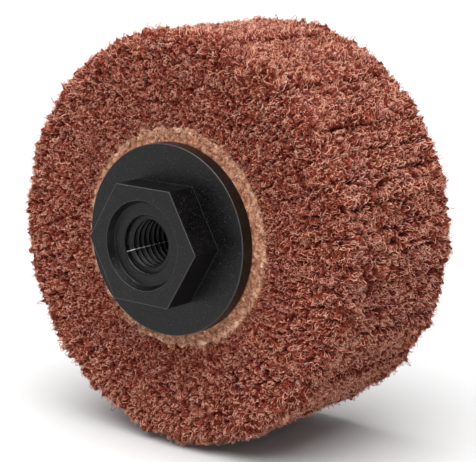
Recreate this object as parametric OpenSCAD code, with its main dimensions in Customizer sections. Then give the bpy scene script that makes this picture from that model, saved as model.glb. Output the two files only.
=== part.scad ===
// Nonwoven flap drum with a hexagon hub, screwed onto the M14 spindle of a hand-held machine.
// The spin axis is Y: the machine is on the -Y side, and +Z is up.
// The origin is on the spin axis, where the full thread of the hub begins.

/* [Drum] */
// Nominal diameter over the flap tips
drum_d = 105; // [98:1:112]
// Length of the drum along the spin axis
drum_w = 50; // [46:1:60]
// Number of flaps round the drum
flap_count = 48; // [40:1:54]
// Radius of the round on the outer corners of a flap
flap_round = 3.5; // [2:0.5:6]
// How far the trimmed drum sits off the spin axis
trim_offset = 0.6; // [0:0.1:1]
// How far the trimmed drum is out of round
trim_oval = 0.5; // [0:0.1:1]
// How far single flaps stand proud of their neighbours or short of them
trim_scatter = 0.4; // [0:0.1:0.8]

/* [Core] */
// Outer diameter of the laminated paper tube
tube_d = 40; // [36:0.5:42]
// Thickness of the adhesive between the tube and the flap roots
bed_t = 2; // [1:0.5:3]
// Outer diameter of the adhesive that shows on each face of the drum
bed_rim_d = 56; // [53:0.5:60]
// How deep that adhesive reaches in from each face
bed_rim_depth = 2.5; // [1:0.5:5]

/* [Hub] */
// Diameter of the flanges at both ends of the drum
flange_d = 49.6; // [48:0.2:52]
// Thickness of the flanges
flange_t = 4; // [3:0.5:6]
// Width across the flats of the hexagon, which takes a 30 mm spanner
hex_af = 29.8; // [28:0.1:30]
// Height of the hexagon above the front flange
hex_h = 9.3; // [7:0.1:12]
// Diameter of the spindle seat, the flat floor of the recess in the hexagon
seat_d = 20.8; // [19:0.1:21]
// Diameter of the recess at the face of the hexagon
recess_d = 23; // [22.8:0.1:25]
// Depth of the recess
recess_depth = 2.1; // [1:0.1:3]
// Radius of the fillet between the floor and the wall of the recess
recess_fillet = 0.3; // [0.2:0.1:0.9]
// Outer diameter of the sleeve that carries the core
sleeve_d = 26; // [24:0.5:28]
// Width of the bevel on the outer edges of the mouldings
edge_bevel = 0.3; // [0.1:0.1:0.6]

/* [Thread] */
// Minor diameter of the M14 x 2 internal thread
thread_minor_d = 11.84; // [11.7:0.01:12.2]
// Length of the full thread
thread_len = 20; // [16:1:24]
// Diameter of the counterbore at the mouth of the thread
counterbore_d = 14.6; // [14.2:0.1:16]
// Depth of the counterbore
counterbore_depth = 1.33; // [0.8:0.01:2]

/* [Rear cap] */
// Diameter of the bore behind the thread, which the cap's plug closes
rear_bore_d = 18; // [16:0.5:20]
// Gap round the plug for its adhesive
plug_gap = 0.05; // [0.02:0.01:0.1]
// Length of the plug
plug_len = 26; // [20:1:30]
// Diameter of the dish in the cap's outer face
dish_d = 34; // [26:1:40]
// Depth of the dish
dish_depth = 1.2; // [0.5:0.1:2]

/* [Hidden] */
$fn = 96;

drum_r = drum_d / 2;
flap_angle = 360 / flap_count;
root_r = tube_d / 2 + bed_t;
// Directions round the spin axis, from +X towards +Z, of the offset and of the long way across
offset_dir = -80;
oval_dir = -80;
// Step round the circle that spreads the scatter with no visible order
scatter_step = 137;

seat_y = -counterbore_depth;
hex_face_y = seat_y - recess_depth;
flange_face_y = hex_face_y + hex_h;
drum_y = flange_face_y + flange_t;
drum_end_y = drum_y + drum_w;
cap_face_y = drum_end_y + flange_t;
plug_y = drum_end_y - plug_len;

nylon = [0.10, 0.10, 0.11];
paper = [0.55, 0.42, 0.30];
adhesive = [0.76, 0.53, 0.36];
fleece = [0.50, 0.24, 0.18];

function flap_name(i) = str("flap_", i < 10 ? "0" : "", i);

// Radius over the tip of flap i: the wheel is dressed while it spins, but the fleece springs back unevenly.
function tip_r(i) =
    let (dir = (i - 0.5) * flap_angle)
    drum_r + trim_offset * cos(dir - offset_dir)
    + trim_oval * cos(2 * (dir - oval_dir))
    + trim_scatter * sin(i * scatter_step);

// Turns a profile drawn as [radius, y] round the spin axis, from +X towards +Z
module turned(points, angle = 360) {
    mirror([0, 1, 0]) rotate([90, 0, 0]) rotate_extrude(angle = angle) polygon(points);
}

module ring(inner_d, outer_d, from_y, to_y) {
    turned([
        [inner_d / 2, from_y], [outer_d / 2, from_y],
        [outer_d / 2, to_y], [inner_d / 2, to_y]
    ]);
}

// Hexagon with two flats level, its face edges bevelled by a cone
module hexagon_head() {
    corner_r = hex_af / 2 / cos(30);
    intersection() {
        translate([0, hex_face_y, 0]) rotate([-90, 0, 0]) cylinder(r = corner_r, h = hex_h, $fn = 6);
        turned([
            [0, hex_face_y], [corner_r - edge_bevel, hex_face_y],
            [corner_r, hex_face_y + edge_bevel], [corner_r, flange_face_y], [0, flange_face_y]
        ]);
    }
}

module front_hub() {
    color(nylon) difference() {
        union() {
            hexagon_head();
            turned([
                [0, flange_face_y], [flange_d / 2 - edge_bevel, flange_face_y],
                [flange_d / 2, flange_face_y + edge_bevel], [flange_d / 2, drum_y],
                [sleeve_d / 2, drum_y], [sleeve_d / 2, drum_end_y], [0, drum_end_y]
            ]);
        }
        recess_and_bores();
    }
}

// What is hollow in the hub: recess, counterbore, thread at its minor diameter, and rear bore
module recess_and_bores() {
    overshoot = 1;
    wall_r = seat_d / 2 + recess_fillet;
    taper = (recess_d / 2 - wall_r) / (recess_depth - recess_fillet);
    fillet = [for (a = [0:15:90]) recess_fillet * [cos(a) - 1, sin(a) - 1]];
    turned(concat(
        [
            [0, hex_face_y - overshoot],
            [recess_d / 2 + taper * overshoot, hex_face_y - overshoot]
        ],
        [for (f = fillet) [wall_r + f[0], seat_y + f[1]]],
        [
            [counterbore_d / 2, seat_y], [counterbore_d / 2, 0],
            [thread_minor_d / 2, 0], [thread_minor_d / 2, thread_len],
            [rear_bore_d / 2, thread_len], [rear_bore_d / 2, drum_end_y + overshoot],
            [0, drum_end_y + overshoot]
        ]
    ));
}

module rear_cap() {
    plug_r = rear_bore_d / 2 - plug_gap;
    color(nylon) turned([
        [0, plug_y], [plug_r - edge_bevel, plug_y], [plug_r, plug_y + edge_bevel],
        [plug_r, drum_end_y], [flange_d / 2, drum_end_y],
        [flange_d / 2, cap_face_y - edge_bevel], [flange_d / 2 - edge_bevel, cap_face_y],
        [dish_d / 2, cap_face_y], [dish_d / 2 - dish_depth, cap_face_y - dish_depth],
        [0, cap_face_y - dish_depth]
    ]);
}

module core_tube() {
    color(paper) ring(sleeve_d + 2 * plug_gap, tube_d, drum_y, drum_end_y);
}

// Cured adhesive: a thin bed on the tube, with a wide rim that has soaked into the roots at each face
module adhesive_bed() {
    color(adhesive) {
        turned([
            [tube_d / 2, drum_y], [bed_rim_d / 2, drum_y],
            [bed_rim_d / 2, drum_y + bed_rim_depth], [root_r, drum_y + bed_rim_depth],
            [root_r, drum_end_y - bed_rim_depth], [bed_rim_d / 2, drum_end_y - bed_rim_depth],
            [bed_rim_d / 2, drum_end_y], [tube_d / 2, drum_end_y]
        ]);
    }
}

// One leaf of fleece, squeezed to a wedge by its neighbours
module flap(i) {
    tip = tip_r(i);
    corner = [for (a = [0:15:90]) flap_round * [sin(a) - 1, 1 - cos(a)]];
    front = [for (c = corner) [tip + c[0], drum_y + c[1]]];
    rear = [for (c = corner) [tip + c[0], drum_end_y - c[1]]];
    outline = concat(
        [
            [root_r, drum_end_y - bed_rim_depth], [root_r, drum_y + bed_rim_depth],
            [bed_rim_d / 2, drum_y + bed_rim_depth], [bed_rim_d / 2, drum_y]
        ],
        front,
        [for (k = [len(rear) - 1:-1:0]) rear[k]],
        [[bed_rim_d / 2, drum_end_y], [bed_rim_d / 2, drum_end_y - bed_rim_depth]]
    );
    color(fleece) rotate([0, -(i - 1) * flap_angle, 0]) turned(outline, flap_angle);
}

front_hub();
rear_cap();
core_tube();
adhesive_bed();
for (i = [1:flap_count]) {
    flap(i);
}
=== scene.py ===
"""Looks of a nonwoven flap drum with a moulded hexagon hub.

Shapes are worked out in millimetres and turned into metres when a mesh is made. The spin axis is Y,
the machine side is -Y, and angles round the axis run from +X towards +Z.
"""

from math import cos, pi, radians, sin

import bpy
import numpy as np
from mathutils import Matrix, Vector


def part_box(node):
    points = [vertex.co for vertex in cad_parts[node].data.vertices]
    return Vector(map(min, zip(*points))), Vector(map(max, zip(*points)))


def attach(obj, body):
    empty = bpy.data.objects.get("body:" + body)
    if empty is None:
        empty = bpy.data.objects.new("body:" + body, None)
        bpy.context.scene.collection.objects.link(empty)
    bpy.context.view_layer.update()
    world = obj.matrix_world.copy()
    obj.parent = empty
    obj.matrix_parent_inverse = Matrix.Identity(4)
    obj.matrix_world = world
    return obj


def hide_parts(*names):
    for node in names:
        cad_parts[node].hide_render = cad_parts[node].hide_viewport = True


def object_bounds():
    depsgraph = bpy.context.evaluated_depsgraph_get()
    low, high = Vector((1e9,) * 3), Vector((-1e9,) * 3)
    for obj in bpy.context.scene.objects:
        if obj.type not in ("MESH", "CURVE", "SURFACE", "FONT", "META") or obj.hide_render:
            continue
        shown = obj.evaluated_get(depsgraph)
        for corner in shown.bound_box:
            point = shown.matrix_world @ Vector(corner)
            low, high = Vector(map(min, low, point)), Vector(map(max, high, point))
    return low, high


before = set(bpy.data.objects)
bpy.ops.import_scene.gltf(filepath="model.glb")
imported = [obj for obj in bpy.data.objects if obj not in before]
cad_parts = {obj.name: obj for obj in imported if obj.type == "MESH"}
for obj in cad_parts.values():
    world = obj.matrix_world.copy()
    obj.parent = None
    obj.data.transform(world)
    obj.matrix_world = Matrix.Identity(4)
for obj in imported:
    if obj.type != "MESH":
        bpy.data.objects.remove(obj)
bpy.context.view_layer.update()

MM = 0.001
FULL_TURN = 2 * pi
rng = np.random.default_rng(48)


# ---------------------------------------------------------------- sizes taken from the frame


def node_points(name):
    """A CAD node's vertices, in millimetres."""
    return np.array([v.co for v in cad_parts[name].data.vertices]) / MM


def node_radii(name):
    """How far a CAD node's vertices lie from the spin axis, in millimetres."""
    points = node_points(name)
    return np.hypot(points[:, 0], points[:, 2])


FLAPS = sorted(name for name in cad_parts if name.startswith("flap_"))
FLAP_TURN = FULL_TURN / len(FLAPS)
TIP_R = np.array([node_radii(name).max() for name in FLAPS])

flap_low, flap_high = (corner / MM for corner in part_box(FLAPS[0]))
DRUM_Y0, DRUM_Y1 = flap_low.y, flap_high.y
DRUM_MID = (DRUM_Y0 + DRUM_Y1) / 2
DRUM_W = DRUM_Y1 - DRUM_Y0
ROOT_R = node_radii(FLAPS[0]).min()

BED_RIM_R = node_radii("adhesive_bed").max()
TUBE_R = node_radii("core_tube").max()
SLEEVE_R = node_radii("core_tube").min()

hub_low, hub_high = (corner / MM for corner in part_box("front_hub"))
HEX_Y = hub_low.y
FLANGE_R = hub_high.x
cap_low, cap_high = (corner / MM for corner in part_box("rear_cap"))
CAP_Y = cap_high.y
FLANGE_T = CAP_Y - DRUM_Y1


# ---------------------------------------------------------------- noise and meshes


# Numbers that turn a grid cell and a seed into a random slope, and the gain that makes noise reach 1
CELL_KEYS = np.array([73856093, 19349663, 83492791])
SEED_KEY = 7919
SCRAMBLE = ((13, 1274126177), (15, 668265263))
LOW_BITS = 0x7FFFFFFF
TEN_BITS = 1023
NOISE_GAIN = 1.5


def noise(points, size, seed=0):
    """Smooth gradient noise from about -1 to 1 at points (N, 3), with bumps of that size.

    Each seed gives a pattern of its own.
    """
    scaled = points / size
    cell = np.floor(scaled).astype(np.int64)
    inside = scaled - cell
    weight = inside**3 * (inside * (inside * 6 - 15) + 10)
    total = np.zeros(len(points))
    for corner in np.ndindex(2, 2, 2):
        step = np.array(corner)
        key = (cell + step) @ CELL_KEYS + seed * SEED_KEY
        for shift, factor in SCRAMBLE:
            key = ((key ^ (key >> shift)) * factor) & LOW_BITS
        slope = np.stack([(key >> shift) & TEN_BITS for shift in (0, 10, 20)], 1)
        slope = slope / (TEN_BITS / 2) - 1
        share = np.where(step, weight, 1 - weight).prod(1)
        total += share * ((inside - step) * slope).sum(1)
    return total * NOISE_GAIN


def smooth_step(values, low, high):
    """0 below low, 1 above high, and a smooth slope between them."""
    t = np.clip((values - low) / (high - low), 0, 1)
    return t * t * (3 - 2 * t)


def around_axis(radius, y, turn):
    """Points from their distance to the spin axis, their place along it and their angle."""
    return np.stack([radius * np.cos(turn), y, radius * np.sin(turn)], -1)


def make_piece(name, points, faces, materials, replaced, face_material=None, attributes=()):
    """A mesh piece in the root body. points are in millimetres, faces a list of index arrays.

    attributes are (name, one value per point) pairs that the materials read.
    """
    sizes = np.concatenate([np.full(len(group), group.shape[1]) for group in faces])
    corners = np.concatenate([group.ravel() for group in faces])
    mesh = bpy.data.meshes.new(name)
    mesh.vertices.add(len(points))
    mesh.vertices.foreach_set("co", (points * MM).astype(np.float32).ravel())
    mesh.loops.add(len(corners))
    mesh.loops.foreach_set("vertex_index", corners.astype(np.int32))
    mesh.polygons.add(len(sizes))
    starts = np.concatenate([[0], np.cumsum(sizes)[:-1]])
    mesh.polygons.foreach_set("loop_start", starts.astype(np.int32))
    mesh.polygons.foreach_set("use_smooth", np.ones(len(sizes), bool))
    if face_material is not None:
        mesh.polygons.foreach_set("material_index", face_material.astype(np.int32))
    mesh.update(calc_edges=True)
    for key, values in attributes:
        layer = mesh.attributes.new(key, "FLOAT", "POINT")
        layer.data.foreach_set("value", values.astype(np.float32))
    for material in materials:
        mesh.materials.append(material)
    piece = bpy.data.objects.new(name, mesh)
    bpy.context.scene.collection.objects.link(piece)
    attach(piece, "root")
    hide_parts(replaced)
    return piece


def grid_faces(rows, columns, wrap_rows=False, wrap_columns=False):
    """Quads of a grid of rows * columns points, numbered along each row."""
    r = np.arange(rows if wrap_rows else rows - 1)[:, None]
    c = np.arange(columns if wrap_columns else columns - 1)[None, :]
    r1, c1 = (r + 1) % rows, (c + 1) % columns
    corner_sets = (r * columns + c, r * columns + c1, r1 * columns + c1, r1 * columns + c)
    return np.stack([np.broadcast_to(k, (len(r), c.size)).ravel() for k in corner_sets], 1)


# ---------------------------------------------------------------- materials


class Shader:
    """A new material's node tree, with short calls to add and link nodes."""

    def __init__(self, name):
        self.material = bpy.data.materials.new(name)
        self.material.use_nodes = True
        self.tree = self.material.node_tree
        self.main = self.tree.nodes["Principled BSDF"]

    def add(self, kind, **settings):
        node = self.tree.nodes.new("ShaderNode" + kind)
        for key, value in settings.items():
            setattr(node, key, value)
        return node

    def link(self, output, socket):
        self.tree.links.new(output, socket)

    def place(self):
        """Object coordinates, which are metres in the row frame."""
        return self.add("TexCoord").outputs["Object"]

    def noise(self, size, detail=2.0, roughness=0.5, distortion=0.0, vector=None):
        """Noise with bumps of that size in millimetres."""
        node = self.add("TexNoise")
        self.link(vector or self.place(), node.inputs["Vector"])
        node.inputs["Scale"].default_value = 1 / (size * MM)
        node.inputs["Detail"].default_value = detail
        node.inputs["Roughness"].default_value = roughness
        node.inputs["Distortion"].default_value = distortion
        return node.outputs["Fac"]

    def ramp(self, value, *stops):
        """A colour ramp through (position, (r, g, b)) stops."""
        node = self.add("ValToRGB")
        self.link(value, node.inputs["Fac"])
        elements = node.color_ramp.elements
        while len(elements) < len(stops):
            elements.new(0.5)
        for element, (position, colour) in zip(elements, stops):
            element.position = position
            element.color = (*colour, 1)
        return node.outputs["Color"]

    def mix(self, a, b, share, blend="MIX"):
        """Colour a mixed with colour b, each a socket or a colour."""
        node = self.add("Mix", data_type="RGBA", blend_type=blend)
        for socket, value in ((node.inputs[0], share), (node.inputs[6], a), (node.inputs[7], b)):
            if isinstance(value, bpy.types.NodeSocket):
                self.link(value, socket)
            elif isinstance(value, tuple):
                socket.default_value = (*value, 1)
            else:
                socket.default_value = value
        return node.outputs[2]

    def span(self, value, low, high, from_low=0.0, from_high=1.0):
        """A value mapped to the range from low to high, and held there."""
        node = self.add("MapRange")
        self.link(value, node.inputs["Value"])
        limits = {"From Min": from_low, "From Max": from_high, "To Min": low, "To Max": high}
        for key, number in limits.items():
            node.inputs[key].default_value = number
        return node.outputs["Result"]

    def bump(self, height, depth, strength=1.0, normal=None):
        """Relief of that depth in millimetres."""
        node = self.add("Bump")
        self.link(height, node.inputs["Height"])
        node.inputs["Distance"].default_value = depth * MM
        node.inputs["Strength"].default_value = strength
        if normal:
            self.link(normal, node.inputs["Normal"])
        return node.outputs["Normal"]

    def finish(self, colour=None, roughness=None, normal=None, **fixed):
        """Wires the shader, sets its fixed sockets and returns the material."""
        sources = {"Base Color": colour, "Roughness": roughness, "Normal": normal}
        for socket, source in sources.items():
            if source is not None:
                self.link(source, self.main.inputs[socket])
        for key, value in fixed.items():
            self.main.inputs[key.replace("_", " ")].default_value = value
        return self.material


TAN = (0.60, 0.252, 0.142)


def soaked(s, colour, shade):
    """The colour where there is no adhesive, and tan where there is, darker where the painted shade
    is low.
    """
    soak = s.add("Attribute", attribute_name="soak").outputs["Fac"]
    tan = s.ramp(shade, (0.0, (0.12, 0.04, 0.025)), (0.55, TAN), (1.0, (0.90, 0.60, 0.44)))
    return s.mix(colour, tan, soak)


def fibre_material():
    """Resin-coated abrasive fibres, each with its own tint, which also carries painted shade. They
    drift from orange to pink.
    """
    s = Shader("fleece_fibre")
    own = s.add("Attribute", attribute_name="tint").outputs["Fac"]
    # Low tints are painted shade on fibres deep in pits or in the lower layers, so each ramp starts
    # near black.
    orange = ((0.0, (0.11, 0.010, 0.006)), (0.5, (0.58, 0.174, 0.099)), (1.0, (0.90, 0.50, 0.35)))
    pink = ((0.0, (0.11, 0.010, 0.008)), (0.5, (0.51, 0.160, 0.112)), (1.0, (0.84, 0.48, 0.38)))
    drift = s.span(s.noise(9, detail=2), 0, 1, 0.35, 0.65)
    colour = s.mix(s.ramp(own, *orange), s.ramp(own, *pink), drift)
    grit = s.noise(0.3, detail=2, roughness=0.7)
    colour = s.mix(colour, (0.92, 0.53, 0.38), s.span(grit, 0, 0.6, 0.55, 0.70))
    colour = s.mix(colour, (0.14, 0.014, 0.009), s.span(grit, 0.8, 0, 0.30, 0.45))
    colour = soaked(s, colour, own)
    roughness = s.span(grit, 0.5, 0.8, 0.3, 0.7)
    return s.finish(colour, roughness, s.bump(grit, 0.04), Specular_IOR_Level=0.1)


def strand_lines(s, size, width, shift):
    """Thin curly lines, 1 on a line and 0 off it: the level lines of a noise of that size.

    Another shift, in millimetres, gives other lines.
    """
    move = s.add("VectorMath", operation="ADD")
    s.link(s.place(), move.inputs[0])
    move.inputs[1].default_value = (shift * MM,) * 3
    field = s.noise(size, detail=1.5, roughness=0.5, vector=move.outputs[0])
    off = s.add("Math", operation="SUBTRACT")
    s.link(field, off.inputs[0])
    off.inputs[1].default_value = 0.5
    away = s.add("Math", operation="ABSOLUTE")
    s.link(off.outputs[0], away.inputs[0])
    return s.span(away.outputs[0], 1, 0, 0, width)


def web_material():
    """The dense web under the fibres: curly strands over pores painted dark as shade, with more
    painted shade in the pits.
    """
    s = Shader("fleece_web")
    # depth is painted pit shade: 0 deep in the pits, 1 high on the lumps.
    depth = s.add("Attribute", attribute_name="tint").outputs["Fac"]
    first = strand_lines(s, 1.1, 0.05, 0)
    second = strand_lines(s, 0.85, 0.05, 31)
    third = strand_lines(s, 0.65, 0.05, 67)
    lines = s.add("Math", operation="MAXIMUM")
    s.link(first, lines.inputs[0])
    s.link(second, lines.inputs[1])
    # Painted shade: the pores between the strands are near black, standing for the shaded depths of
    # the web.
    strands = s.mix((0.085, 0.007, 0.005), (0.20, 0.030, 0.020), third)
    strands = s.mix(strands, (0.42, 0.104, 0.058), lines.outputs[0])
    # Painted shade: the web goes near black deep in its pits.
    colour = s.mix((0.07, 0.006, 0.004), strands, depth)
    colour = soaked(s, colour, depth)
    normal = s.bump(lines.outputs[0], 0.2)
    return s.finish(colour, None, normal, Roughness=0.8, Specular_IOR_Level=0.04)


# Value of the "edge" attribute on an outer edge with a painted highlight; it is 1 on the parting
# line, where the painted highlight is brightest
EDGE_GLINT = 0.4


def nylon_material():
    """Black moulded nylon: spark-eroded grain, faint lighter clouds, a little dust, and painted
    highlights on sharp edges and the parting line.
    """
    s = Shader("black_nylon")
    grain = s.noise(0.3, detail=3, roughness=0.65)
    cloud = s.noise(5, detail=4, roughness=0.6)
    colour = s.ramp(cloud, (0.3, (0.0012, 0.0010, 0.0012)), (0.7, (0.0030, 0.0026, 0.0030)))
    dust = s.span(s.noise(0.35, detail=1), 0, 0.5, 0.64, 0.72)
    colour = s.mix(colour, (0.075, 0.068, 0.064), dust)
    edge = s.add("Attribute", attribute_name="edge").outputs["Fac"]
    # Painted highlights: light grey on the sharper outer edges, bright grey on the parting line's
    # ridge.
    edge_glint, line = (0.035, 0.035, 0.036), (0.45, 0.45, 0.46)
    painted_highlight = s.ramp(edge, (0.0, (0.0, 0.0, 0.0)), (EDGE_GLINT, edge_glint), (1.0, line))
    colour = s.mix(colour, painted_highlight, 1.0, "ADD")
    roughness = s.span(cloud, 0.28, 0.38, 0.3, 0.7)
    return s.finish(colour, roughness, s.bump(grain, 0.06), IOR=1.5, Specular_IOR_Level=0.26)


def adhesive_material():
    """Cured adhesive soaked into the roots: tan, with dark pores and pale clots at its edge."""
    s = Shader("cured_adhesive")
    rim = s.add("Attribute", attribute_name="tint").outputs["Fac"]
    clots = s.noise(1.3, detail=3, roughness=0.65)
    colour = s.ramp(clots, (0.34, (0.28, 0.09, 0.05)), (0.5, TAN), (0.66, (0.90, 0.52, 0.34)))
    pale = s.mix((0.0, 0.0, 0.0), rim, s.span(clots, 0, 1, 0.42, 0.52))
    colour = s.mix(colour, (1.0, 0.68, 0.46), pale)
    fuzz = s.noise(0.42, detail=3, roughness=0.75, distortion=1.2)
    colour = s.mix(colour, (0.10, 0.03, 0.02), s.span(fuzz, 0.0, 0.85, 0.50, 0.64))
    normal = s.bump(fuzz, 0.35, normal=s.bump(clots, 0.4))
    return s.finish(colour, s.span(fuzz, 0.5, 0.85), normal, Specular_IOR_Level=0.3)


def paper_material():
    """Laminated paper tube: its wound layers show as rings on the ends."""
    s = Shader("laminated_paper")
    rings = s.add("TexWave", wave_type="RINGS", rings_direction="Y")
    s.link(s.place(), rings.inputs["Vector"])
    rings.inputs["Scale"].default_value = 1 / (3 * MM)
    rings.inputs["Distortion"].default_value = 1.5
    colour = s.ramp(rings.outputs["Fac"], (0.0, (0.22, 0.13, 0.07)), (1.0, (0.42, 0.28, 0.17)))
    fibres = s.noise(0.4, detail=4, roughness=0.7)
    colour = s.mix(colour, (0.5, 0.38, 0.25), s.span(fibres, 0, 0.4, 0.5, 0.8))
    return s.finish(colour, None, s.bump(fibres, 0.05), Roughness=0.8)


FIBRE, WEB, NYLON = fibre_material(), web_material(), nylon_material()
ADHESIVE, PAPER = adhesive_material(), paper_material()


# ---------------------------------------------------------------- fleece flaps

# Round on a flap's outer corners, and the radius at which its faces meet the adhesive
FLAP_ROUND = 3.5
FACE_R = BED_RIM_R - 0.3

# Half of the flat rim's width, the length of a corner's arc, and the rim's mean radius
HALF_RIM = DRUM_W / 2 - FLAP_ROUND
ROUND_LEN = FLAP_ROUND * pi / 2
RIM_R = TIP_R.mean()

# A flap's skin: distance between its rows, columns from edge to edge, and the margin at each edge
ROW_STEP = 0.40
SKIN_COLUMNS = 18
EDGE_MARGIN = 0.01

# How far the gaps between flaps wander, and what keeps their noises apart
WANDER = radians(1.0)
GAP_SPACING = 37.0

# Height at and below which the fleece gets its darkest painted shade
PIT_FLOOR = -1.3


def skin(u, tip):
    """Radius, place along the axis and outward normal (radial, axial) of the drum's plain surface.

    u runs over the surface from the front root, round both corners to the rear root, and is 0 at
    the middle of the rim.
    """
    reach = np.abs(u)
    bend = np.clip((reach - HALF_RIM) / FLAP_ROUND, 0, pi / 2)
    down = np.maximum(reach - HALF_RIM - ROUND_LEN, 0)
    radius = tip - FLAP_ROUND * (1 - np.cos(bend)) - down
    side = np.sign(u)
    along = np.minimum(reach, HALF_RIM) + FLAP_ROUND * np.sin(bend)
    return radius, DRUM_MID + side * along, np.cos(bend), side * np.sin(bend)


def skin_end(tip):
    """The largest u of a flap, where its face meets the adhesive."""
    return HALF_RIM + ROUND_LEN + tip - FLAP_ROUND - FACE_R


def edge_turn(edge, u):
    """Where the gap between two flaps runs. It wanders, as the leaves are squeezed unevenly."""
    apart = np.full(len(u), GAP_SPACING * (edge % len(FLAPS)))
    edge_space = np.stack([u, apart, np.zeros(len(u))], 1)
    return edge * FLAP_TURN + WANDER * noise(edge_space, 7, 31)


def web_space(u, turn, tip):
    """The fleece's own coordinates, in which its structure is even.

    The root squeezes that structure to half its size, and it is a little longer than it is wide.
    """
    longer = 1.2
    radius = np.minimum(skin(u, tip)[0], RIM_R)
    flat = np.minimum(np.abs(u), HALF_RIM + ROUND_LEN)
    along = np.sign(u) * (flat + RIM_R * np.log(RIM_R / radius))
    return np.stack([along / longer, turn * RIM_R, np.zeros(len(u))], 1)


def flare(u):
    """1 on the round corners of the drum, where the fleece opens out, and 0 away from them."""
    reach = 5
    return np.exp(-(((np.abs(u) - HALF_RIM - ROUND_LEN / 2) / reach) ** 2))


def relief(u, turn, across, tip):
    """How far the fleece stands out of the plain surface. across is 0 and 1 at a flap's two edges.

    It is lumpy and pitted, sinks into the gaps between flaps, and stands up in tufts on corners.
    """
    web = web_space(u, turn, tip)
    rim = 1 - smooth_step(np.abs(u), HALF_RIM, HALF_RIM + 3 * FLAP_ROUND)
    lumps = 0.5 * noise(web, 9, 1) + (0.4 + 0.1 * rim) * noise(web, 2.4, 2)
    lumps = lumps + 0.7 * noise(web, 1.1, 3)
    pits = 1.1 * smooth_step(noise(web, 1.3, 4), 0.08, 0.4)
    pits = pits + 0.7 * smooth_step(noise(web, 3.2, 7), 0.32, 0.55)
    edge = 1 - 2 * np.abs(across - np.round(across))
    gap = 0.3 + 1.0 * rim * smooth_step(noise(web, 3.2, 5), -0.1, 0.3)
    squeeze = skin(u, tip)[0] / RIM_R
    tufts = 1.3 * smooth_step(noise(web, 1.7, 8), 0.0, 0.5)
    tufts = tufts * smooth_step(noise(web, 4.1, 9), -0.4, 0.4)
    return (lumps - pits - gap * edge**7) * squeeze + (0.5 + tufts) * flare(u)


def on_drum(u, turn, tip, height):
    """Points at a height over the plain surface of a flap."""
    radius, y, out, axial = skin(u, tip)
    return around_axis(radius + out * height, y + axial * height, turn)


def soak_of(radius, turn):
    """How much adhesive has crept into the fleece there: it stops raggedly, just past the root."""
    place = around_axis(radius, 0 * radius, turn)
    creep = 1.8 * noise(place, 3.2, 12) + 0.9 * noise(place, 1.0, 13)
    return 1 - smooth_step(radius - creep, FACE_R - 0.2, FACE_R + 1.4)


def flap_body(index):
    """The dense web of one flap, as a closed skin over its wedge: points, faces, painted pit shades
    and soaks.

    Each row crosses the flap, then comes back through two points inside the wedge.
    """
    dive_depth, root_inset = 1.3, 3
    tip = TIP_R[index]
    end = skin_end(tip)
    rows = int(2 * end / ROW_STEP)
    u = np.repeat(np.linspace(-end, end, rows), SKIN_COLUMNS)
    across = np.tile(np.linspace(EDGE_MARGIN, 1 - EDGE_MARGIN, SKIN_COLUMNS), rows)
    turn = edge_turn(index, u) * (1 - across) + edge_turn(index + 1, u) * across
    dive = dive_depth * smooth_step(np.abs(u), end - dive_depth, end)
    height = relief(u, turn, across, tip)
    outer = on_drum(u, turn, tip, height - dive).reshape(rows, SKIN_COLUMNS, 3)
    root_y = DRUM_MID + np.linspace(-1, 1, rows) * (DRUM_W / 2 - root_inset)
    root = [
        around_axis(np.full(rows, ROOT_R + 1), root_y, np.full(rows, (index + side) * FLAP_TURN))
        for side in (0.95, 0.05)
    ]
    loop = np.concatenate([outer, root[0][:, None], root[1][:, None]], axis=1)
    count = loop.shape[1]
    ends = np.stack([np.arange(count), np.arange(count)[::-1] + (rows - 1) * count])
    shades, soaks = np.zeros((rows, count)), np.zeros((rows, count))
    # Painted shade: the web's tint is lowest in its pits.
    shades[:, :SKIN_COLUMNS] = smooth_step(height, PIT_FLOOR, 0.6).reshape(rows, SKIN_COLUMNS)
    soaks[:, :SKIN_COLUMNS] = soak_of(skin(u, tip)[0], turn).reshape(rows, SKIN_COLUMNS)
    faces = [grid_faces(rows, count, wrap_columns=True), ends]
    return loop.reshape(-1, 3), faces, shades.ravel(), soaks.ravel()


# Fibres: how many on a flap, steps along each, length of a step, and sides of its tube
FIBRES_PER_FLAP = 1120
FIBRE_STEPS = 8
FIBRE_STEP = 0.36
FIBRE_SIDES = 3

# Share of the fibres that stand proud as loops, and share that is in the upper layers with them
LOOSE_SHARE, UPPER_SHARE = 0.14, 0.6


def walk(u, turn, radius_of, limit):
    """Curly walks over a surface: u and turn at each step.

    They start and tend to stay along u, each curls its own way, and all of them jitter. Steps are
    shorter where the root squeezes the fleece.
    """
    count = len(u)
    heading = rng.choice([0, pi], count) + rng.normal(0, 0.9, count)
    curl = rng.choice([-1, 1], count) / rng.uniform(0.3, 1.0, count)
    steps = []
    for _ in range(FIBRE_STEPS + 1):
        steps.append((u, turn))
        step = FIBRE_STEP * radius_of(u) / RIM_R
        u = np.clip(u + step * np.cos(heading), -limit, limit)
        turn = turn + step * np.sin(heading) / radius_of(u)
        straighten = 0.25 * np.sin(2 * heading)
        heading = heading + curl * FIBRE_STEP - straighten + rng.normal(0, 0.55, count)
    return steps


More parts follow.
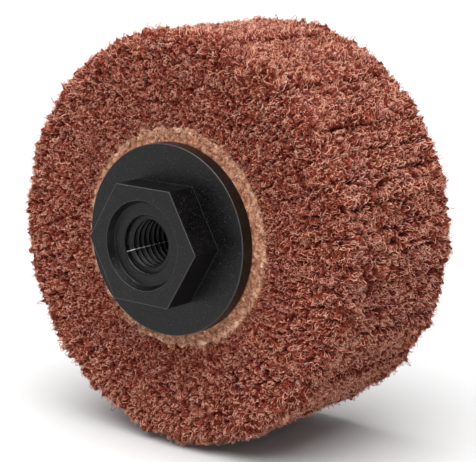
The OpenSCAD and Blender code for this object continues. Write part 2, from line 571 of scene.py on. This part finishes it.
def weave(count):
    """Fibres' heights along their length, which of them are in the upper layers, and their radii.

    Loose ones stand proud as loops, top ones lie on the web and low ones weave in and out of it.
    """
    draw = rng.uniform(0, 1, count)
    loose, top = draw < LOOSE_SHARE, (draw >= LOOSE_SHARE) & (draw < UPPER_SHARE)
    arch = np.where(loose, rng.uniform(0.6, 1.5, count), rng.uniform(0.15, 0.45, count))
    start = np.where(top, rng.uniform(0.05, 0.4, count), rng.uniform(-0.3, 0.1, count))
    start = np.where(loose, -0.2, start)
    waves = np.where(loose, 1, rng.uniform(2, 5, count))
    phase = np.where(loose, 0, rng.uniform(0, FULL_TURN, count))
    share = np.linspace(0, 1, FIBRE_STEPS + 1)[:, None]
    thick = np.where(top, rng.uniform(0.045, 0.08, count), rng.uniform(0.04, 0.065, count))
    thick = np.where(loose, rng.uniform(0.055, 0.085, count), thick)
    return start + arch * np.sin(pi * share * waves + phase), loose | top, thick


def flap_fibres(index, count):
    """Curly fibres matted over one flap: points (count, steps + 1, 3), tints with painted shade,
    soaks and radii.

    They are drawn at random, thinned over the pits and towards the rim, and cut off at the count.
    """
    over_adhesive, draws = 1.2, 6
    tip = TIP_R[index]
    end = skin_end(tip) + over_adhesive
    u = rng.uniform(-end, end, draws * count)
    turn = (index + rng.uniform(0, 1, len(u))) * FLAP_TURN
    squeeze = skin(u, tip)[0] / RIM_R
    fill = 1 - 0.85 * smooth_step(noise(web_space(u, turn, tip), 1.3, 4), 0.05, 0.35)
    keep = rng.uniform(0, 1, len(u)) < fill * 0.7 / np.sqrt(squeeze)
    u, turn, squeeze = u[keep][:count], turn[keep][:count], squeeze[keep][:count]
    lift, upper, thick = weave(len(u))
    # Lower-layer fibres get darker tints: painted shade under the upper layers.
    own = np.where(upper, rng.normal(0.77, 0.24, len(u)), rng.normal(0.42, 0.16, len(u)))
    points, tints, soaks = [], [], []
    for (u, turn), rise in zip(walk(u, turn, lambda u: skin(u, tip)[0], end), lift):
        first, last = edge_turn(index, u), edge_turn(index + 1, u)
        height = relief(u, turn, (turn - first) / (last - first), tip)
        height = height + rise * (squeeze + 0.3 * flare(u))
        points.append(on_drum(u, turn, tip, height))
        # Painted shade: fibres lying deep in the pits get darker tints.
        pit_shade = 0.3 + 0.7 * smooth_step(height, PIT_FLOOR, 0.4)
        tints.append(np.clip((own + rng.normal(0, 0.37, len(u))) * pit_shade, 0, 1))
        soaks.append(soak_of(skin(u, tip)[0], turn))
    return np.stack(points, 1), np.stack(tints, 1), np.stack(soaks, 1), thick * squeeze


def tubes(paths, radius):
    """Closed beaded tubes along the paths (count, steps, 3): points, wall faces and end faces.

    Each is thinner at its ends.
    """
    tiny = 1e-9
    count, steps, _ = paths.shape
    forward = np.gradient(paths, axis=1)
    forward /= np.linalg.norm(forward, axis=2, keepdims=True) + tiny
    side = rng.normal(size=(count, 3))
    rings = []
    for step in range(steps):
        ahead = forward[:, step]
        side = side - (side * ahead).sum(1, keepdims=True) * ahead
        side /= np.linalg.norm(side, axis=1, keepdims=True) + tiny
        other = np.cross(ahead, side)
        thick = radius * (0.5 if step in (0, steps - 1) else rng.uniform(0.75, 1.35, count))
        for k in range(FIBRE_SIDES):
            angle = FULL_TURN * k / FIBRE_SIDES
            out = cos(angle) * side + sin(angle) * other
            rings.append(paths[:, step] + thick[:, None] * out)
    points = np.stack(rings, 1).reshape(-1, 3)
    one = grid_faces(steps, FIBRE_SIDES, wrap_columns=True)
    first = (np.arange(count) * steps * FIBRE_SIDES)[:, None, None]
    walls = (first + one).reshape(-1, 4)
    low = np.arange(FIBRE_SIDES)[::-1]
    high = np.arange(FIBRE_SIDES) + (steps - 1) * FIBRE_SIDES
    caps = (first + np.stack([low, high])).reshape(-1, FIBRE_SIDES)
    return points, walls, caps


def with_fibres(points, faces, shades, soaks, paths, tints, fibre_soaks, thick):
    """A body and its fibres as one mesh: points, faces, each face's material and the attributes.

    The body takes the piece's first material and the fibres its second.
    """
    hair, walls, caps = tubes(paths, thick)
    groups = [*faces, walls + len(points), caps + len(points)]
    slots = [np.full(len(group), int(i >= len(faces))) for i, group in enumerate(groups)]
    face_material = np.concatenate(slots)
    tints = np.concatenate([shades, np.repeat(tints.ravel(), FIBRE_SIDES)])
    soaks = np.concatenate([soaks, np.repeat(fibre_soaks.ravel(), FIBRE_SIDES)])
    return np.concatenate([points, hair]), groups, face_material, (("tint", tints), ("soak", soaks))


def make_flap(index):
    """One leaf of fleece: its dense web and the fibres on it."""
    body = flap_body(index)
    fibres = flap_fibres(index, FIBRES_PER_FLAP)
    points, faces, face_material, attributes = with_fibres(*body, *fibres)
    name = "fleece_" + FLAPS[index]
    make_piece(name, points, faces, [WEB, FIBRE], FLAPS[index], face_material, attributes)


# ---------------------------------------------------------------- mouldings

# Half of the hexagon's width across the flats, and the round on its corners
HEX_HALF = 14.9
HEX_CORNER_ROUND = 0.45

# The parting line's angle, its height and width, and how far round it the mesh is fine
PARTING_TURN = radians(203)
LINE_HEIGHT, LINE_WIDTH = 0.16, 0.12
LINE_SPAN, LINE_STEPS = 2.4, 13

# Angles round the axis, closest together at the corners of the hexagon and at the parting line
SECTOR_STEPS = 48
sector = 30 * (1 - np.cos(pi * np.arange(SECTOR_STEPS) / SECTOR_STEPS))
line = np.degrees(PARTING_TURN) + np.linspace(-LINE_SPAN, LINE_SPAN, LINE_STEPS)
LOOP_TURN = np.radians(np.unique(np.concatenate([sector + 60 * k for k in range(6)] + [line])))
LOOP = len(LOOP_TURN)

# Rows of a rounded corner: on its arc, and how close to it the row is on each side
ARC_ROWS = 7
CLOSE_BY = 0.06

# Only corners with a smaller round than this get a painted edge highlight
SHARP_ROUND = 0.5


def hexagon_radius(turn):
    """Distance from the axis to a hexagon with rounded corners, the first of them on +X."""
    from_corner = np.abs((turn + pi / 6) % (pi / 3) - pi / 6)
    flat = HEX_HALF / np.cos(pi / 6 - from_corner)
    centre = (HEX_HALF - HEX_CORNER_ROUND) / cos(pi / 6)
    inside = np.maximum(HEX_CORNER_ROUND**2 - (centre * np.sin(from_corner)) ** 2, 0)
    rounded = centre * np.cos(from_corner) + np.sqrt(inside)
    touch = centre * sin(pi / 6)
    return np.where(HEX_HALF * np.tan(pi / 6 - from_corner) > touch, rounded, flat)


def rounded_profile(corners):
    """Rows (radius, y, hexness, edge) along a closed outline.

    Its corners are (radius, y, hexness, rounding). Each gets an arc, with a row close by on both
    sides that keeps the flats flat. edge is above 0 on the arcs that stand out, where a painted
    highlight lightens the moulding.
    """
    rows = []
    count = len(corners)
    spot = np.array(corners)[:, :2]
    ahead = np.roll(spot, -1, 0)
    winding = np.sign((spot[:, 0] * ahead[:, 1] - spot[:, 1] * ahead[:, 0]).sum())
    for i, (radius, y, hexness, rounding) in enumerate(corners):
        here, before, after = spot[i], spot[i - 1], spot[(i + 1) % count]
        into = (before - here) / np.linalg.norm(before - here)
        out = (after - here) / np.linalg.norm(after - here)
        stands_out = winding * (into[1] * out[0] - into[0] * out[1]) > 0
        half = np.arccos(np.clip(into @ out, -1, 1)) / 2
        reach = rounding / np.tan(half)
        middle = here + (into + out) / np.linalg.norm(into + out) * rounding / np.sin(half)
        start, stop = here + into * reach, here + out * reach
        rows.append((*(start + into * CLOSE_BY), hexness, 0))
        for share in np.linspace(0, 1, ARC_ROWS):
            bend = (start - middle) * sin((1 - share) * (pi - 2 * half))
            bend = bend + (stop - middle) * sin(share * (pi - 2 * half))
            edge_glint = stands_out and rounding < SHARP_ROUND
            edge = EDGE_GLINT * edge_glint * sin(pi * share) ** 0.5
            rows.append((*(middle + bend / sin(pi - 2 * half)), hexness, edge))
        rows.append((*(stop + out * CLOSE_BY), hexness, 0))
    return rows


def turned(rows, shape=None):
    """Points, faces and edge values (painted highlights) of rows (radius, y, hexness, edge) turned
    round the axis.

    hexness is 1 where a row is a hexagon and 0 where it is round. shape may change radius and y.
    """
    rows = np.array(rows)
    radius = np.repeat(rows[:, 0:1], LOOP, axis=1)
    radius = radius + rows[:, 2:3] * (hexagon_radius(LOOP_TURN) - HEX_HALF)
    y = np.repeat(rows[:, 1:2], LOOP, axis=1)
    turn = np.repeat(LOOP_TURN[None], len(rows), axis=0)
    if shape:
        radius, y = shape(radius, y, turn)
    points = around_axis(radius, y, turn).reshape(-1, 3)
    faces = grid_faces(len(rows), LOOP, wrap_rows=True, wrap_columns=True)
    return points, faces, np.repeat(rows[:, 3], LOOP)


# The M14 x 2 internal thread. Its crests and roots are shares of the pitch, and the mesh has
# PITCH_ROWS rows per turn.
PITCH = 2.0
MINOR_R, MAJOR_R = 5.92, 7.0
CREST_SHARE, ROOT_SHARE = 0.25, 0.125
THREAD_END = 20.0
PITCH_ROWS = 16

# The counterbore at the thread's mouth, the recess from its foot to the face, and the rear bore
MOUTH_R = 7.3
SEAT_Y = -1.33
FOOT_R, RECESS_R = 10.6, 11.5
BORE_R = 9.0
FLANGE_Y = DRUM_Y0 - FLANGE_T

# Gap for adhesive between glued parts, and clearance between parts that only meet
GLUE_GAP, CLEARANCE = 0.05, 0.02

# How far past a limit a row still counts as being on it
NEAR = 0.01


def thread_radius(y, turn):
    """The wall of a right-handed internal thread: flat crests, 60 degree flanks, narrow roots."""
    from_root = 2 * np.abs((y / PITCH + turn / FULL_TURN) % 1 - 0.5)
    depth = np.clip((1 - CREST_SHARE - from_root) / (1 - CREST_SHARE - ROOT_SHARE), 0, 1)
    return MINOR_R + (MAJOR_R - MINOR_R) * depth


def parting_line(radius, y, turn):
    """1 on the mould's parting line, which runs along the bore, and 0 away from it."""
    in_bore = (radius < MOUTH_R + 0.05) & (y > SEAT_Y + 0.05) & (y < THREAD_END + NEAR)
    return in_bore * np.exp(-(((turn - PARTING_TURN) * MINOR_R / LINE_WIDTH) ** 2))


def cut_thread(radius, y, turn):
    """Cuts the thread into the bore and its run-out into the step, and adds the parting line."""
    wall = (radius < MOUTH_R - NEAR) & (y > -NEAR) & (y < THREAD_END + NEAR)
    share = (radius - MINOR_R) / (MOUTH_R - MINOR_R)
    thread = thread_radius(y, turn)
    cut = np.where(wall, thread + share * (MOUTH_R - thread), radius)
    return cut - LINE_HEIGHT * parting_line(radius, y, turn), y


def hub_rows():
    """The hub's section, from the counterbore outwards and back in to close rows on the thread."""
    sleeve_r, sleeve_end = SLEEVE_R - GLUE_GAP, DRUM_Y1 - CLEARANCE
    outline = [
        (MOUTH_R, 0, 0, 0.08),
        (MOUTH_R, SEAT_Y, 0, 0.6),
        (FOOT_R, SEAT_Y, 0, 0.25),
        (RECESS_R, HEX_Y, 0, 0.15),
        (HEX_HALF, HEX_Y, 1, 0.28),
        (HEX_HALF, FLANGE_Y, 1, 0.15),
        (FLANGE_R, FLANGE_Y, 0, 0.3),
        (FLANGE_R, DRUM_Y0, 0, 0.15),
        (sleeve_r, DRUM_Y0, 0, 0.3),
        (sleeve_r, sleeve_end, 0, 0.2),
        (BORE_R, sleeve_end, 0, 0.2),
        (BORE_R, THREAD_END, 0, 0.3),
    ]
    bore = [(MINOR_R, THREAD_END, 0, 0), (MINOR_R, 0, 0, 0)]
    rows = rounded_profile(outline + bore)[: (ARC_ROWS + 2) * len(outline)]
    wall = [(MINOR_R, y, 0, 0) for y in np.arange(THREAD_END, -NEAR, -PITCH / PITCH_ROWS)]
    step = [(r, 0, 0, 0) for r in np.linspace(MINOR_R, MOUTH_R - 0.15, 5)[1:]]
    return rows + wall + step


def make_hub():
    """The hub with its thread, parting line, and painted highlights on its sharper edges and parting
    line.
    """
    points, faces, edge_glints = turned(hub_rows(), cut_thread)
    radius = np.hypot(points[:, 0], points[:, 2])
    turn = np.arctan2(points[:, 2], points[:, 0]) % FULL_TURN
    edge_glints = np.maximum(edge_glints, parting_line(radius, points[:, 1], turn))
    edge_glints = (("edge", edge_glints),)
    make_piece("hub_moulding", points, [faces], [NYLON], "front_hub", attributes=edge_glints)


# The dish in the cap's outer face, and the boss in its middle with a vent that runs through the cap
DISH_R, DISH_FOOT_R, DISH_Y = 17.0, 15.8, CAP_Y - 1.2
BOSS_FOOT_R, BOSS_R, BOSS_Y = 3.0, 2.6, CAP_Y - 0.7
VENT_R = 0.4


def cap_rows():
    """The rear cap's section, from the vent through the plug and the flange to the dish."""
    plug_r, plug_y = BORE_R - GLUE_GAP, cap_low.y
    return rounded_profile(
        [
            (VENT_R, plug_y, 0, 0.1),
            (plug_r, plug_y, 0, 0.4),
            (plug_r, DRUM_Y1, 0, 0.1),
            (FLANGE_R, DRUM_Y1, 0, 0.15),
            (FLANGE_R, CAP_Y, 0, 0.4),
            (DISH_R, CAP_Y, 0, 0.35),
            (DISH_FOOT_R, DISH_Y, 0, 0.4),
            (BOSS_FOOT_R, DISH_Y, 0, 0.2),
            (BOSS_R, BOSS_Y, 0, 0.15),
            (VENT_R, BOSS_Y, 0, 0.1),
        ]
    )


def make_cap():
    """The rear cap with its plug."""
    points, faces, edge_glints = turned(cap_rows())
    # The edge values paint highlights on the cap's sharper outer edges.
    edge_glints = (("edge", edge_glints),)
    make_piece("rear_cap_moulding", points, [faces], [NYLON], "rear_cap", attributes=edge_glints)


# ---------------------------------------------------------------- adhesive and core


def adhesive_rows():
    """The bed on the tube and its wide rim at each face, with close rows where the rims show."""
    sunk, rim_depth, row_step = 0.35, 2.2, 0.2
    hidden, outer = FLANGE_R - 1.5, BED_RIM_R + 0.6
    bed_r, tube_r = ROOT_R - CLEARANCE, TUBE_R + CLEARANCE
    shown = np.arange(hidden, outer, row_step)
    front = [(r, DRUM_Y0 + sunk, 0, 0) for r in shown]
    rear = [(r, DRUM_Y1 - sunk, 0, 0) for r in shown[::-1]]
    bed = [
        (outer, DRUM_Y0 + rim_depth, 0, 0),
        (bed_r, DRUM_Y0 + rim_depth, 0, 0),
        (bed_r, DRUM_Y1 - rim_depth, 0, 0),
        (outer, DRUM_Y1 - rim_depth, 0, 0),
    ]
    inner = [(tube_r, DRUM_Y1 - CLEARANCE, 0, 0), (tube_r, DRUM_Y0 + CLEARANCE, 0, 0)]
    return front + bed + rear + inner


def clot(radius, y, turn):
    """Lumps and scallops: the adhesive creeps out a little further along each flap's root."""
    points = around_axis(radius, y, turn).reshape(-1, 3)
    shape = radius.shape
    shows = smooth_step(radius, FLANGE_R - 0.6, FLANGE_R + 0.3)
    lump = (0.5 * noise(points, 1.9, 21) + 0.5 * noise(points, 0.9, 22)).reshape(shape)
    face = np.where(y < DRUM_MID, -1, 1) * (np.abs(y - DRUM_MID) > DRUM_W / 2 - 1)
    edge = around_axis(BED_RIM_R + 0 * radius, 0 * y, turn).reshape(-1, 3)
    creep = (1.5 * noise(edge, 1.9, 23) + 0.8 * noise(edge, 4.5, 24)).reshape(shape)
    return radius + shows * creep, y + face * shows * lump


# Fibres soaked in the adhesive: their ring's middle radius, half its width, and their number
RING_R = (FLANGE_R + BED_RIM_R) / 2 + 0.8
RING_HALF = 2.4
RING_FIBRES = 1400


def ring_fibres(count):
    """Fibres of the roots, soaked in adhesive, on both faces: points, tints, soaks and radii."""
    u = rng.uniform(-RING_HALF, RING_HALF, count)
    turn = rng.uniform(0, FULL_TURN, count)
    lift, _, thick = weave(count)
    rear = rng.integers(0, 2, count)
    own = rng.normal(0.6, 0.35, count)
    points, tints = [], []
    for (u, turn), rise in zip(walk(u, turn, lambda u: RING_R + u, RING_HALF), lift):
        height = 0.6 * np.minimum(rise, 0.5) - 0.35
        y = np.where(rear, DRUM_Y1 + height, DRUM_Y0 - height)
        points.append(around_axis(RING_R + u, y, turn))
        tints.append(np.clip(own + rng.normal(0, 0.15, count), 0, 1))
    return np.stack(points, 1), np.stack(tints, 1), np.ones((count, FIBRE_STEPS + 1)), thick


def make_adhesive():
    """The ring and its soaked fibres. Its tint says how pale it is: most at its outer edge."""
    pale_width = 0.7
    points, faces, _ = turned(adhesive_rows(), clot)
    radius = np.hypot(points[:, 0], points[:, 2])
    pale = 0.8 * np.exp(-(((radius - BED_RIM_R) / pale_width) ** 2))
    fibres = ring_fibres(RING_FIBRES)
    points, faces, face_material, attributes = with_fibres(points, [faces], pale, 0 * pale, *fibres)
    name, node, slot = "adhesive_ring", "adhesive_bed", "adhesive"
    make_piece(name, points, faces, [ADHESIVE, FIBRE], node, face_material, attributes)


def finish_tube():
    """The core tube stays the CAD node, sealed inside the drum, and only gets its paper."""
    tube_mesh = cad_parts["core_tube"].data
    tube_mesh.materials.clear()
    tube_mesh.materials.append(PAPER)


# ---------------------------------------------------------------- floor, light and camera

# In metres
FLOOR_SIZE = 6


def make_floor():
    """The pale floor that the drum stands on."""
    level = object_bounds()[0][2]
    bpy.ops.mesh.primitive_plane_add(size=FLOOR_SIZE, location=(0, 0, level))
    floor = bpy.context.object
    floor.name = "floor"
    s = Shader("pale_floor")
    floor.data.materials.append(s.finish(Base_Color=(0.60, 0.60, 0.60, 1), Roughness=0.9))


LIGHT_STRENGTH, LIGHT_SPREAD = 5.4, radians(70)
LIGHT_TOWARDS = (-0.1, 0.36, -1)


def make_light():
    """Wide soft light from above, as from the top of a light tent."""
    light = bpy.data.lights.new("top_light", "SUN")
    light.energy = LIGHT_STRENGTH
    light.angle = LIGHT_SPREAD
    lamp = bpy.data.objects.new("top_light", light)
    bpy.context.scene.collection.objects.link(lamp)
    lamp.rotation_euler = Vector(LIGHT_TOWARDS).to_track_quat("-Z", "Y").to_euler()


# Where the camera stands as seen from the drum's front face, and how far off the spin axis it aims
AZIMUTH, ELEVATION, ROLL = radians(36.76), radians(11.97), radians(1.36)
DISTANCE, SHIFT_RIGHT, SHIFT_UP = 470.6, 16.2, 1.74
LENS, SENSOR = 139.1, 36


def make_camera():
    """Looks at the middle of the drum's front face, from the right and a little above."""
    back = Vector((sin(AZIMUTH) * cos(ELEVATION), -cos(AZIMUTH) * cos(ELEVATION), sin(ELEVATION)))
    level = Vector((cos(AZIMUTH), sin(AZIMUTH), 0))
    upright = back.cross(level)
    right = level * cos(ROLL) + upright * sin(ROLL)
    up = upright * cos(ROLL) - level * sin(ROLL)
    place = Vector((0, DRUM_Y0, 0)) + back * DISTANCE + right * SHIFT_RIGHT + up * SHIFT_UP
    camera = bpy.data.objects.new("camera", bpy.data.cameras.new("camera"))
    camera.data.lens = LENS
    camera.data.sensor_width = SENSOR
    turned_to = Matrix((right, up, back)).transposed().to_4x4()
    camera.matrix_world = Matrix.Translation(place * MM) @ turned_to
    bpy.context.scene.collection.objects.link(camera)
    bpy.context.scene.camera = camera


# The light tent is bright up to the first height of a direction, and dim from the second up
WALL_UP_TO, TOP_FROM = 0.08, 0.2
WALL_LIGHT, TOP_LIGHT = 1.0, 0.42


def make_world():
    """A light tent: white walls near the horizon, dimmer overhead, where the lamp is."""
    world = bpy.data.worlds.new("light_tent")
    world.use_nodes = True
    tree = world.node_tree
    direction = tree.nodes.new("ShaderNodeTexCoord").outputs["Generated"]
    split = tree.nodes.new("ShaderNodeSeparateXYZ")
    dim = tree.nodes.new("ShaderNodeMapRange")
    tree.links.new(direction, split.inputs["Vector"])
    tree.links.new(split.outputs["Z"], dim.inputs["Value"])
    dim.inputs["From Min"].default_value = WALL_UP_TO
    dim.inputs["From Max"].default_value = TOP_FROM
    dim.inputs["To Min"].default_value = WALL_LIGHT
    dim.inputs["To Max"].default_value = TOP_LIGHT
    background = tree.nodes["Background"]
    background.inputs["Color"].default_value = (1, 1, 1, 1)
    tree.links.new(dim.outputs["Result"], background.inputs["Strength"])
    bpy.context.scene.world = world
    bpy.context.scene.view_settings.view_transform = "Standard"


for index in range(len(FLAPS)):
    make_flap(index)
make_hub()
make_cap()
make_adhesive()
finish_tube()
make_floor()
make_light()
make_camera()
make_world()
